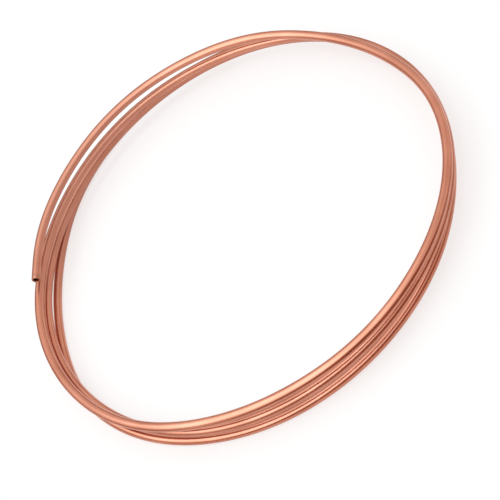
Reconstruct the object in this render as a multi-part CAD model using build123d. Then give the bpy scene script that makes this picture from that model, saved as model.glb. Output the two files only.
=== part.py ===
from build123d import *
import os
from math import cos, radians, sin, sqrt

# Loose coil of soft copper tube, lying flat on the floor, in millimetres
tube_od = 6.0          # outside of the tube
tube_wall = 1.0        # thickness of its wall all round
coil_diameter = 290.0  # across the coil, from tube centre to tube centre
end_straight = 14.0    # straight stretch at each cut end
end_chamfer = 0.2      # broken edge round the outside of each cut end

# The turns run clockwise from the free end on top, seen from above, down to the floor
free_end_angle = 148.5  # degrees round from +X
steps_per_turn = 8
turns_to_floor = 2.75   # what is left of the tube after these turns lies on the floor

# Heights of the turns, in tube widths
floor_share = 0.5      # a tube on the floor has its centre half a width up
turn_rise_share = 1.4  # from each turn to the one above it
spring_share = 0.6     # added rise at the near and far sides, where the turns spring up

# How far the tube's centre lies outside the mean circle, in tube widths:
# one row for each turn, one place for each eighth of a turn
out_shares = [
    0.0, -0.7, -1.4, -1.5, 0.3, 1.2, 0.5, 0.7,
    0.7, -0.5, -1.0, -0.4, 0.1, 0.5, 0.4, 0.2,
    0.7, 0.7, 0.6, 0.2, -0.4, 0.1, 0.3, 0.7,
    0.2, 2.2, 2.2,
]

last_step = len(out_shares) - 1
step_angle = radians(-360 / steps_per_turn)


def angle_at(step):
    """Angle of one step of the coil, round from +X."""
    return radians(free_end_angle) + step * step_angle


def up_share(step):
    """Height of the tube's centre over the floor at one step, in tube widths."""
    turns_above = max(turns_to_floor - step / steps_per_turn, 0)
    spring = spring_share * sin(angle_at(step)) ** 2
    return floor_share + turns_above * (turn_rise_share + spring)


up_shares = [up_share(step) for step in range(last_step + 1)]


def slope(shares, step):
    """Change of a share over one step, from the places on both sides."""
    before = max(step - 1, 0)
    after = min(step + 1, last_step)
    return (shares[after] - shares[before]) / (after - before)


def place(step):
    """Centre of the tube at one step of the coil, and the way it heads there."""
    angle = angle_at(step)
    outward = Vector(cos(angle), sin(angle), 0)
    sideways = Vector(-sin(angle), cos(angle), 0)
    radius = coil_diameter / 2 + out_shares[step] * tube_od
    lies_on_floor = up_shares[step] <= floor_share
    climb = 0 if lies_on_floor else slope(up_shares, step)
    heading = (
        outward * (slope(out_shares, step) * tube_od)
        + sideways * (radius * step_angle)
        + Vector(0, 0, climb * tube_od)
    )
    centre = outward * radius + Vector(0, 0, up_shares[step] * tube_od)
    return centre, heading.normalized()


def tangent_arcs(start, start_heading, end, end_heading):
    """Two arcs that leave start, join each other and reach end, all without a corner."""
    chord = end - start
    bend = 2 * (1 - start_heading.dot(end_heading))
    pull = 2 * chord.dot(start_heading + end_heading)
    reach = (sqrt(pull**2 + 4 * bend * chord.dot(chord)) - pull) / (2 * bend)
    lead = start + start_heading * reach
    trail = end - end_heading * reach
    joint = (lead + trail) / 2
    return [
        TangentArc(start, joint, tangent=start_heading),
        TangentArc(joint, end, tangent=trail - lead),
    ]


def coil_line():
    """Centre line of the tube: a straight end, two arcs for each step, a straight end."""
    places = [place(step) for step in range(last_step + 1)]
    first, first_heading = places[0]
    last, last_heading = places[-1]
    places[0] = (first + first_heading * end_straight, first_heading)
    places[-1] = (last - last_heading * end_straight, last_heading)
    line = [Line(first, places[0][0])]
    for (start, start_heading), (end, end_heading) in zip(places, places[1:]):
        line += tangent_arcs(start, start_heading, end, end_heading)
    line.append(Line(places[-1][0], last))
    return line


def tube_along(line):
    """The tube's ring-shaped section carried along the line, with its two rims broken."""
    section = Circle(tube_od / 2) - Circle(tube_od / 2 - tube_wall)
    start = Plane(origin=line[0] @ 0, z_dir=line[0] % 0)
    tube = sweep(start * section, path=Wire(line))
    cut_ends = tube.faces().filter_by(GeomType.PLANE)
    rims = [end.outer_wire().edge() for end in cut_ends]
    return chamfer(rims, end_chamfer)


def on_floor(shape):
    """The shape moved so that the middle of its box, at the floor, is the origin."""
    box = shape.bounding_box()
    middle = box.center()
    return Pos(-middle.X, -middle.Y, -box.min.Z) * shape


line = coil_line()
length = sum(piece.length for piece in line)
copper_tube = on_floor(tube_along(line))

print("length of tube", round(length, 1), "mm")

os.makedirs("parts", exist_ok=True)
export_step(copper_tube, "parts/copper_tube.step")
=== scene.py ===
import bpy
import numpy as np
from mathutils import Matrix, Vector


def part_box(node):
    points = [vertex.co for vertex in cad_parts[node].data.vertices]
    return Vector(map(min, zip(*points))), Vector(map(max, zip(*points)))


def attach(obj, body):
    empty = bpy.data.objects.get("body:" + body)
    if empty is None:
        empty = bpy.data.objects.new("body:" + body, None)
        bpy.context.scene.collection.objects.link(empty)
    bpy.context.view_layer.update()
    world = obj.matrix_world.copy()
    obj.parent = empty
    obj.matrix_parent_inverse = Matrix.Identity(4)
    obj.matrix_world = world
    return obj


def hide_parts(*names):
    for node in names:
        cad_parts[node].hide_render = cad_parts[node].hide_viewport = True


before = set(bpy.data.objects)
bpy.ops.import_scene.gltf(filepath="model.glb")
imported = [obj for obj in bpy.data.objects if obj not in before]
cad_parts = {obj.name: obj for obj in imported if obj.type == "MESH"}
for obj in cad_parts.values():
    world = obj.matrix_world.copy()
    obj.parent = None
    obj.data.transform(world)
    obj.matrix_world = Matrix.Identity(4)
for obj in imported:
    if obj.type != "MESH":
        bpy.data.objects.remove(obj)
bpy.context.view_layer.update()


# Copper tube: the route and section of the part, in metres, degrees and tube widths
copperTube = {
    "outside": 0.006,
    "wall": 0.001,
    "coilDiameter": 0.290,
    "endStraight": 0.014,
    "freeEndAngle": 148.5,
    "stepsPerTurn": 8,
    "turnsToFloor": 2.75,
    "floorShare": 0.5,
    "turnRiseShare": 1.4,
    "springShare": 0.6,
    "outShares": [
        0.0, -0.7, -1.4, -1.5, 0.3, 1.2, 0.5, 0.7,
        0.7, -0.5, -1.0, -0.4, 0.1, 0.5, 0.4, 0.2,
        0.7, 0.7, 0.6, 0.2, -0.4, 0.1, 0.3, 0.7,
        0.2, 2.2, 2.2,
    ],
    "rimBreak": 0.0002,
    # rims in shares of the break: back from the cut, then in from the outside or out from the bore
    "outerRim": [(1, 0), (0.4, 0.25), (0, 1), (0, 1.2)],
    "boreRim": [(0, 0.7), (0, 0.5), (0.3, 0.1), (1, 0)],
    "arcSamples": 40,
    "rowSpacing": 0.003,
    "boreRowEvery": 3,
    "sides": 40,
    "easeLength": 0.030,
}


def unit(v):
    return v / np.linalg.norm(v, axis=-1, keepdims=True)


def dot(a, b):
    return np.sum(a * b, axis=-1, keepdims=True)


# Length along a line: the sum of its straight runs up to each of its points
def lengthAlong(line):
    return np.concatenate([[0], np.cumsum(np.linalg.norm(np.diff(line, axis=0), axis=1))])


# Steps of the coil: each lies on the mean circle plus its own share of a tube width outward, and as high
# as the floor share plus (rise + spring sin(angle) squared) for each turn still to go. It heads along the
# change between its two neighbours, level where it is on the floor.
def coilSteps(tube):
    step = np.arange(len(tube["outShares"]))
    turn = -2 * np.pi / tube["stepsPerTurn"]
    angle = np.radians(tube["freeEndAngle"]) + turn * step
    turnsAbove = np.maximum(tube["turnsToFloor"] - step / tube["stepsPerTurn"], 0)
    spring = tube["springShare"] * np.sin(angle)**2
    out = np.array(tube["outShares"]) * tube["outside"]
    up = (tube["floorShare"] + turnsAbove * (tube["turnRiseShare"] + spring)) * tube["outside"]
    climb = np.where(turnsAbove > 0, np.gradient(up), 0)
    radius = tube["coilDiameter"] / 2 + out
    zero = np.zeros_like(angle)
    outward = np.stack([np.cos(angle), np.sin(angle), zero], 1)
    sideways = np.stack([-np.sin(angle), np.cos(angle), zero], 1)
    lift = np.array([[0.0, 0.0, 1.0]])
    place = outward * radius[:, None] + lift * up[:, None]
    level = outward * np.gradient(out)[:, None] + sideways * (radius * turn)[:, None]
    return place, unit(level + lift * climb[:, None])


# Arc from p, heading along t, to q: p + r (sin(2 h f) t + (1 - cos(2 h f)) m) for f from 0 to 1,
# where h is the angle between t and the chord, r the chord over 2 sin h, and m the way it bends.
def arcPoints(p, t, q, count):
    chord = q - p
    span = np.linalg.norm(chord, axis=-1, keepdims=True)
    along = dot(chord / span, t)
    half = np.arccos(np.clip(along, -1, 1))
    bend = unit(chord / span - along * t)
    radius = span / (2 * np.sin(half))
    f = np.arange(count)[None, :, None] / count
    sweep = 2 * half[:, None] * f
    return p[:, None] + radius[:, None] * (np.sin(sweep) * t[:, None] + (1 - np.cos(sweep)) * bend[:, None])


# Centre line: a straight end, two tangent arcs for each step and a straight end, sampled evenly
# and eased by averaging over a short raised-cosine window so that the bends flow into each other.
def tubeLine(tube):
    place, heading = coilSteps(tube)
    first, last = place[0].copy(), place[-1].copy()
    place[0] += heading[0] * tube["endStraight"]
    place[-1] -= heading[-1] * tube["endStraight"]
    p, q, t, u = place[:-1], place[1:], heading[:-1], heading[1:]
    chord = q - p
    bend = 2 * (1 - dot(t, u))
    pull = 2 * dot(chord, t + u)
    reach = (np.sqrt(pull**2 + 4 * bend * dot(chord, chord)) - pull) / (2 * bend)
    lead, trail = p + t * reach, q - u * reach
    joint = (lead + trail) / 2
    before = arcPoints(p, t, joint, tube["arcSamples"])
    after = arcPoints(joint, unit(trail - lead), q, tube["arcSamples"])
    arcs = np.concatenate([before, after], 1).reshape(-1, 3)
    line = np.concatenate([first[None], arcs, place[-1:], last[None]])

    length = lengthAlong(line)
    rows = int(round(length[-1] / tube["rowSpacing"]))
    even = np.linspace(0, length[-1], rows + 1)
    line = np.stack([np.interp(even, length, line[:, k]) for k in range(3)], 1)

    reachRows = int(round(tube["easeLength"] / 2 / tube["rowSpacing"]))
    window = np.hanning(2 * reachRows + 3)[1:-1]
    window /= window.sum()
    back = line[0] + (line[0] - line[1]) * np.arange(reachRows, 0, -1)[:, None]
    on = line[-1] + (line[-1] - line[-2]) * np.arange(1, reachRows + 1)[:, None]
    padded = np.concatenate([back, line, on])
    return np.stack([np.convolve(padded[:, k], window, "valid") for k in range(3)], 1)


# Tube surface: a circle carried along the line. The rows go out along the outside, over the broken rim,
# back along the bore and over the other rim, so the grid closes both ways:
# point = centre + r (cos(a) outward + sin(a) up), with r and the row's centre given by the row.
# A row's kind is 0 outside, 1 on a cut rim and 2 in the bore, in the order of the copper finishes.
def tubeGrid(tube, line):
    radius = tube["outside"] / 2
    bore = radius - tube["wall"]
    tangent = unit(np.gradient(line, axis=0))
    outward = unit(np.cross([0.0, 0.0, 1.0], tangent))
    upward = np.cross(tangent, outward)

    outerBack, inset = tube["rimBreak"] * np.array(tube["outerRim"]).T
    boreBack, outset = tube["rimBreak"] * np.array(tube["boreRim"]).T
    rimBack = np.concatenate([outerBack, boreBack])
    rimRadius = np.concatenate([radius - inset, bore + outset])
    atFirst = np.zeros(len(rimBack), int)
    atLast = atFirst + len(line) - 1

    outer = np.arange(1, len(line) - 1)
    inner = outer[::-1][::tube["boreRowEvery"]]
    station = np.concatenate([outer, atLast, inner, atFirst])
    shift = np.concatenate([0 * outer, -rimBack, 0 * inner, rimBack[::-1]])
    kind = np.repeat([0, 1, 2, 1], [len(outer), len(rimBack), len(inner), len(rimBack)])
    ring = np.where(kind == 0, radius, bore)
    ring[kind == 1] = np.concatenate([rimRadius, rimRadius[::-1]])

    a = 2 * np.pi * np.arange(tube["sides"]) / tube["sides"]
    cosine, sine = np.cos(a)[None, :, None], np.sin(a)[None, :, None]
    spoke = cosine * outward[station][:, None] + sine * upward[station][:, None]
    centre = line[station] + tangent[station] * shift[:, None]
    points = centre[:, None] + ring[:, None, None] * spoke
    widthsAlong = ((lengthAlong(line)[station] + shift) / tube["outside"])[:, None]
    onTube = np.stack(np.broadcast_arrays(cosine[..., 0], sine[..., 0], widthsAlong), -1)
    return points, onTube, kind


# Grid closed both ways: each point is joined to the next one round the tube and to the next row
def closedGridObject(name, points, onTube, kind, materials):
    rows, sides = points.shape[:2]
    i, j = np.meshgrid(np.arange(rows), np.arange(sides), indexing="ij")
    nextI, nextJ = (i + 1) % rows, (j + 1) % sides
    quads = np.stack([i * sides + j, i * sides + nextJ, nextI * sides + nextJ, nextI * sides + j], -1)
    mesh = bpy.data.meshes.new(name)
    mesh.from_pydata(points.reshape(-1, 3), [], quads.reshape(-1, 4))
    for material in materials:
        mesh.materials.append(material)
    faceKind = np.where(kind == np.roll(kind, -1), kind, 1)
    mesh.polygons.foreach_set("material_index", np.repeat(faceKind, sides))
    mesh.polygons.foreach_set("use_smooth", np.ones(rows * sides, bool))
    attribute = mesh.attributes.new("onTube", "FLOAT_VECTOR", "POINT")
    attribute.data.foreach_set("vector", onTube.reshape(-1))
    around = np.stack([j, j + 1, j + 1, j], -1) / sides
    lengthwise = np.stack([i, i, i + 1, i + 1], -1) / rows
    uv = mesh.uv_layers.new(name="tubeMap")
    uv.data.foreach_set("uv", np.stack([lengthwise, around], -1).reshape(-1))
    mesh.update()
    obj = bpy.data.objects.new(name, mesh)
    bpy.context.scene.collection.objects.link(obj)
    return obj


# Nodes by type, with inputs given as values or as sockets to link from
def addNode(tree, kind, inputs=None, **settings):
    node = tree.nodes.new(kind)
    for key, value in settings.items():
        setattr(node, key, value)
    for key, value in (inputs or {}).items():
        if isinstance(value, bpy.types.NodeSocket):
            tree.links.new(value, node.inputs[key])
        else:
            node.inputs[key].default_value = value
    return node


def newTree(name):
    material = bpy.data.materials.new(name)
    material.use_nodes = True
    material.node_tree.nodes.clear()
    return material, material.node_tree


# A shader group with named inputs and one value coming out
def newGroup(name, inputs, output):
    group = bpy.data.node_groups.new(name, "ShaderNodeTree")
    for socket, kind in inputs.items():
        group.interface.new_socket(name=socket, in_out="INPUT", socket_type=kind)
    group.interface.new_socket(name=output, in_out="OUTPUT", socket_type="NodeSocketFloat")
    return group, addNode(group, "NodeGroupInput")


# Grain that all the finishes share: how fine it is, and which part of it is spread over tone and roughness
copperGrain = {
    "detail": 3.0,
    "patchScale": 34.0,
    "toneFrom": 0.40,
    "toneTo": 0.60,
    "roughFrom": 0.3,
    "roughTo": 0.7,
    "bumpStrength": 0.6,
}


# Drawing streaks: noise stretched along the tube, on the point's place round it and along it
def drawnStreakGroup():
    group, start = newGroup("drawnStreaks", {
        "Vector": "NodeSocketVector", "Fineness": "NodeSocketFloat", "Length": "NodeSocketFloat"}, "Streak")
    fineness, length = start.outputs["Fineness"], start.outputs["Length"]
    axes = addNode(group, "ShaderNodeSeparateXYZ", {0: start.outputs["Vector"]})
    x = addNode(group, "ShaderNodeMath", {0: axes.outputs[0], 1: fineness}, operation="MULTIPLY")
    y = addNode(group, "ShaderNodeMath", {0: axes.outputs[1], 1: fineness}, operation="MULTIPLY")
    z = addNode(group, "ShaderNodeMath", {0: axes.outputs[2], 1: length}, operation="DIVIDE")
    place = addNode(group, "ShaderNodeCombineXYZ", {0: x.outputs[0], 1: y.outputs[0], 2: z.outputs[0]})
    noise = addNode(group, "ShaderNodeTexNoise", {
        "Vector": place.outputs[0], "Scale": 1.0, "Detail": copperGrain["detail"]})
    addNode(group, "NodeGroupOutput", {"Streak": noise.outputs["Fac"]})
    return group


# Dull, shaded side: towards the free end the copper is painted darker and browner, a painted shade, and made
# rougher.
# The change grows from none to all between two distances from the middle, along one direction, given as an
# angle round from +X.
dullShadedSide = {"towards": 108.0, "from": 0.08, "to": 0.14, "colour": (0.45, 0.186, 0.126, 1)}


def dullShadedSideGroup():
    group, start = newGroup("dullShadedSide", {"Vector": "NodeSocketVector"}, "DullShade")
    angle = np.radians(dullShadedSide["towards"])
    reach = addNode(group, "ShaderNodeVectorMath", {
        0: start.outputs["Vector"], 1: (np.cos(angle), np.sin(angle), 0)}, operation="DOT_PRODUCT")
    dullShade = addNode(group, "ShaderNodeMapRange", {
        "Value": reach.outputs["Value"], "From Min": dullShadedSide["from"], "From Max": dullShadedSide["to"],
    }, interpolation_type="SMOOTHSTEP")
    addNode(group, "NodeGroupOutput", {"DullShade": dullShade.outputs["Result"]})
    return group


# Copper finishes: what a user would change for each surface of the tube
copperFinish = {
    "brightCopper": {
        "colours": [(0.525, 0.196, 0.122, 1), (0.655, 0.267, 0.175, 1)],
        "roughness": (0.22, 0.32), "streakFineness": 4.0, "streakLength": 14.0, "streakHeight": 0.00002,
        # how much painted shade (a darker brown) this finish takes on the dull side, and the roughness added
        # there
        "paintedShadeShare": 0.65, "dullRoughness": 0.12,
    },
    "cutCopper": {
        "colours": [(0.40, 0.16, 0.10, 1), (0.48, 0.21, 0.14, 1)],
        "roughness": (0.30, 0.42), "streakFineness": 14.0, "streakLength": 0.4, "streakHeight": 0.00002,
        "paintedShadeShare": 0.0, "dullRoughness": 0.0,
    },
    # bore: painted shade, the inside of the tube is painted near black
    "shadedBoreCopper": {
        "colours": [(0.03, 0.012, 0.008, 1), (0.05, 0.020, 0.012, 1)],
        "roughness": (0.45, 0.6), "streakFineness": 6.0, "streakLength": 10.0, "streakHeight": 0.00002,
        "paintedShadeShare": 0.0, "dullRoughness": 0.0,
    },
}


# Copper: streaks and soft patches set its tone, the streaks its roughness and relief,
# and on the dull side painted shade darkens and browns the colour while a higher roughness lowers the shine
def copperMaterial(name, finish, streakGroup, dullShadeGroup):
    material, tree = newTree(name)
    onTube = addNode(tree, "ShaderNodeAttribute", attribute_name="onTube")
    place = addNode(tree, "ShaderNodeTexCoord")
    streaks = addNode(tree, "ShaderNodeGroup", {
        "Vector": onTube.outputs["Vector"],
        "Fineness": finish["streakFineness"],
        "Length": finish["streakLength"],
    }, node_tree=streakGroup)
    patches = addNode(tree, "ShaderNodeTexNoise", {
        "Vector": place.outputs["Object"],
        "Scale": copperGrain["patchScale"],
        "Detail": copperGrain["detail"],
    })
    dullShaded = addNode(tree, "ShaderNodeGroup", {"Vector": place.outputs["Object"]}, node_tree=dullShadeGroup)
    streak, dullShade = streaks.outputs["Streak"], dullShaded.outputs["DullShade"]

    both = addNode(tree, "ShaderNodeMath", {0: patches.outputs["Fac"], 1: streak}, operation="ADD")
    mean = addNode(tree, "ShaderNodeMath", {0: both.outputs[0], 1: 2.0}, operation="DIVIDE")
    ramp = addNode(tree, "ShaderNodeValToRGB", {"Fac": mean.outputs[0]})
    dark, light = ramp.color_ramp.elements
    dark.position, light.position = copperGrain["toneFrom"], copperGrain["toneTo"]
    dark.color, light.color = finish["colours"]
    # painted shade: on the dull side the colour is mixed towards a darker brown
    share = addNode(tree, "ShaderNodeMath", {0: dullShade, 1: finish["paintedShadeShare"]}, operation="MULTIPLY")
    shadedTone = addNode(tree, "ShaderNodeMix", {  # 6 and 7 are the two colours, output 2 their mix
        0: share.outputs[0], 6: ramp.outputs["Color"], 7: dullShadedSide["colour"]}, data_type="RGBA")

    low, high = finish["roughness"]
    rough = addNode(tree, "ShaderNodeMapRange", {
        "Value": streak, "From Min": copperGrain["roughFrom"], "From Max": copperGrain["roughTo"],
        "To Min": low, "To Max": high})
    duller = addNode(tree, "ShaderNodeMath", {
        0: dullShade, 1: finish["dullRoughness"], 2: rough.outputs["Result"]}, operation="MULTIPLY_ADD")
    bump = addNode(tree, "ShaderNodeBump", {
        "Height": streak, "Strength": copperGrain["bumpStrength"], "Distance": finish["streakHeight"]})
    shader = addNode(tree, "ShaderNodeBsdfPrincipled", {
        "Base Color": shadedTone.outputs[2], "Metallic": 1.0, "Roughness": duller.outputs[0],
        "Normal": bump.outputs["Normal"]})
    addNode(tree, "ShaderNodeOutputMaterial", {"Surface": shader.outputs["BSDF"]})
    return material


streakGroup, dullShadeGroup = drawnStreakGroup(), dullShadedSideGroup()
finishes = [copperMaterial(name, finish, streakGroup, dullShadeGroup) for name, finish in copperFinish.items()]
print("copper finishes made")

# The tube's box is centred on the part's box and stands at the same height
line = tubeLine(copperTube)
points, onTube, kind = tubeGrid(copperTube, line)
low, high = points.min((0, 1)), points.max((0, 1))
cadLow, cadHigh = (np.array(corner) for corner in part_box("copper_tube"))
points += np.append(((cadLow + cadHigh) / 2 - (low + high) / 2)[:2], cadLow[2] - low[2])
coil = closedGridObject("copperCoil", points, onTube, kind, finishes)
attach(coil, "root")
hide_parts("copper_tube")
print("tube made,", len(coil.data.polygons), "faces,", round(float(lengthAlong(line)[-1]), 3), "m long")


# Studio: a white floor and soft light from above, with three low flags and a light card that only
# the bright metal mirrors
studio = {
    "floorSide": 6.0,
    "floorWhite": 0.86,
    "floorShown": 0.64,
    "floorShade": 0.48,
    "flagSides": 64,
    "flags": {
        "nearFlag": {
            "radius": 0.205, "height": 0.055, "front": -85.0, "taper": 3.0, "colour": (0.52, 0.24, 0.15, 1)},
        "leftFlag": {
            "radius": 0.200, "height": 0.030, "front": 150.0, "taper": 0.7, "colour": (0.82, 0.57, 0.44, 1)},
        "farFlag": {
            "radius": 0.450, "height": 0.165, "front": 95.0, "taper": 1.0, "colour": (0.55, 0.38, 0.30, 1)},
    },
    "worldPlain": 0.70,
    "lampPlace": (-0.70, -0.12, 1.50),
    "lampSide": 1.4,
    "lampRadiance": 0.9,
    "cardHeight": 1.0,
    "cardMiddle": (-1.05, -0.40),
    "cardSize": (3.6, 3.2),
    "cardTurn": 18.0,
    "cardGlow": 1.9,
    "cardFade": 0.5,
    "cardColour": (0.75, 1.05, 1.17, 1),
}
plainWhite = (1, 1, 1, 1)


# 1 for what the eye sees, straight or mirrored or through, and 0 for light on its way
def rayMask(tree):
    rays = addNode(tree, "ShaderNodeLightPath")
    seen = addNode(tree, "ShaderNodeMath", {
        0: rays.outputs["Is Camera Ray"], 1: rays.outputs["Is Glossy Ray"]}, operation="MAXIMUM")
    return addNode(tree, "ShaderNodeMath", {
        0: seen.outputs[0], 1: rays.outputs["Is Transmission Ray"]}, operation="MAXIMUM").outputs[0]


def clothMaterial(name, colour):
    material, tree = newTree(name)
    cloth = addNode(tree, "ShaderNodeBsdfDiffuse", {"Color": colour})
    addNode(tree, "ShaderNodeOutputMaterial", {"Surface": cloth.outputs[0]})
    return material


# White floor: a lit part that keeps the shadow plus an even glow, for the eye and for mirrored views alike
def floorMaterial():
    material, tree = newTree("whiteFloor")
    plain = addNode(tree, "ShaderNodeBsdfDiffuse", {"Color": (studio["floorWhite"],) * 3 + (1,)})
    shade = addNode(tree, "ShaderNodeBsdfDiffuse", {"Color": (studio["floorShade"],) * 3 + (1,)})
    glow = addNode(tree, "ShaderNodeEmission", {"Color": plainWhite, "Strength": studio["floorShown"]})
    shown = addNode(tree, "ShaderNodeAddShader", {0: shade.outputs[0], 1: glow.outputs[0]})
    mix = addNode(tree, "ShaderNodeMixShader", {0: rayMask(tree), 1: plain.outputs[0], 2: shown.outputs[0]})
    addNode(tree, "ShaderNodeOutputMaterial", {"Surface": mix.outputs[0]})
    return material


# Light card: plain white plus a slightly cool glow, full in the middle and fading to nothing at its rim
def cardMaterial(middle, halfX, halfY):
    material, tree = newTree("lightCard")
    place = addNode(tree, "ShaderNodeTexCoord")
    centred = addNode(tree, "ShaderNodeMapping", {
        "Vector": place.outputs["Object"], "Location": middle,
        "Rotation": (0, 0, np.radians(studio["cardTurn"])), "Scale": (halfX, halfY, 1),
    }, vector_type="TEXTURE")
    fade = addNode(tree, "ShaderNodeTexGradient", {"Vector": centred.outputs[0]}, gradient_type="SPHERICAL")
    glow = addNode(tree, "ShaderNodeMapRange", {
        "Value": fade.outputs["Fac"], "From Max": studio["cardFade"], "To Max": studio["cardGlow"]})
    white = addNode(tree, "ShaderNodeEmission", {"Color": plainWhite, "Strength": 1.0})
    cool = addNode(tree, "ShaderNodeEmission", {
        "Color": studio["cardColour"], "Strength": glow.outputs["Result"]})
    sheet = addNode(tree, "ShaderNodeAddShader", {0: white.outputs[0], 1: cool.outputs[0]})
    addNode(tree, "ShaderNodeOutputMaterial", {"Surface": sheet.outputs[0]})
    return material


def stageObject(name, points, faces, material):
    mesh = bpy.data.meshes.new(name)
    mesh.from_pydata(points, [], faces)
    mesh.materials.append(material)
    obj = bpy.data.objects.new(name, mesh)
    bpy.context.scene.collection.objects.link(obj)
    return obj


def mirroredOnly(obj):
    obj.visible_camera = False
    obj.visible_diffuse = False
    obj.visible_shadow = False


# Flag: an upright band on a circle round the coil, as high as its height times the cosine of the angle
# from its front, raised to its taper
def flagBand(name, flag):
    sides = np.arange(studio["flagSides"])
    around = 2 * np.pi * sides / len(sides)
    foot = flag["radius"] * np.stack([np.cos(around), np.sin(around), 0 * around], 1)
    rise = flag["height"] * np.maximum(np.cos(around - np.radians(flag["front"])), 0)**flag["taper"]
    top = foot + np.stack([0 * rise, 0 * rise, rise], 1)
    nextOne = (sides + 1) % len(sides)
    faces = np.stack([nextOne, sides, sides + len(sides), nextOne + len(sides)], 1)
    return stageObject(name, np.concatenate([foot, top]), faces, clothMaterial(name, flag["colour"]))


square = np.array([(-1, -1, 0), (1, -1, 0), (1, 1, 0), (-1, 1, 0)])
stageObject("floor", studio["floorSide"] / 2 * square, [(0, 1, 2, 3)], floorMaterial())

for name, flag in studio["flags"].items():
    mirroredOnly(flagBand(name, flag))

middle = np.array([*studio["cardMiddle"], studio["cardHeight"]])
halfX, halfY = (side / 2 for side in studio["cardSize"])
corners = middle + max(halfX, halfY) * square
mirroredOnly(stageObject("lightCard", corners, [(0, 1, 2, 3)], cardMaterial(middle, halfX, halfY)))

world = bpy.data.worlds.new("studioWorld")
world.use_nodes = True
bpy.context.scene.world = world
tree = world.node_tree
tree.nodes.clear()
plain = addNode(tree, "ShaderNodeBackground", {"Color": plainWhite, "Strength": studio["worldPlain"]})
white = addNode(tree, "ShaderNodeBackground", {"Color": plainWhite, "Strength": 1.0})
mix = addNode(tree, "ShaderNodeMixShader", {0: rayMask(tree), 1: plain.outputs[0], 2: white.outputs[0]})
addNode(tree, "ShaderNodeOutputWorld", {"Surface": mix.outputs[0]})

# Soft lamp from above; its power is its radiance times pi times its area
lamp = bpy.data.lights.new("softLamp", "AREA")
lamp.shape = "SQUARE"
lamp.size = studio["lampSide"]
lamp.energy = studio["lampRadiance"] * np.pi * lamp.size**2
lampObject = bpy.data.objects.new("softLamp", lamp)
lampObject.location = studio["lampPlace"]
lampObject.rotation_euler = Vector(studio["lampPlace"]).to_track_quat("Z", "Y").to_euler()
bpy.context.scene.collection.objects.link(lampObject)
print("studio made")


# Camera: looks along +Y and down, turned about its own axis so that the coil's width runs up to the right
view = {
    "target": (-0.00585, -0.01933, 0.0),
    "distance": 0.8855,
    "elevation": 45.46,
    "roll": 44.35,
    "focalPixels": 1397.6,
    "pictureSide": 500,
    "sensorWidth": 36.0,
}
elevation, roll = np.radians(view["elevation"]), np.radians(view["roll"])
back = Vector((0, -np.cos(elevation), np.sin(elevation)))
levelRight, levelUp = Vector((1, 0, 0)), Vector((0, np.sin(elevation), np.cos(elevation)))
right = levelRight * np.cos(roll) - levelUp * np.sin(roll)
up = levelRight * np.sin(roll) + levelUp * np.cos(roll)
camera = bpy.data.cameras.new("camera")
camera.sensor_width = view["sensorWidth"]
camera.lens = view["focalPixels"] / view["pictureSide"] * camera.sensor_width
cameraObject = bpy.data.objects.new("camera", camera)
bpy.context.scene.collection.objects.link(cameraObject)
turned = Matrix((right, up, back)).transposed().to_4x4()
cameraObject.matrix_world = Matrix.Translation(Vector(view["target"]) + back * view["distance"]) @ turned
bpy.context.scene.camera = cameraObject
bpy.context.scene.view_settings.view_transform = "Standard"
print("camera placed")
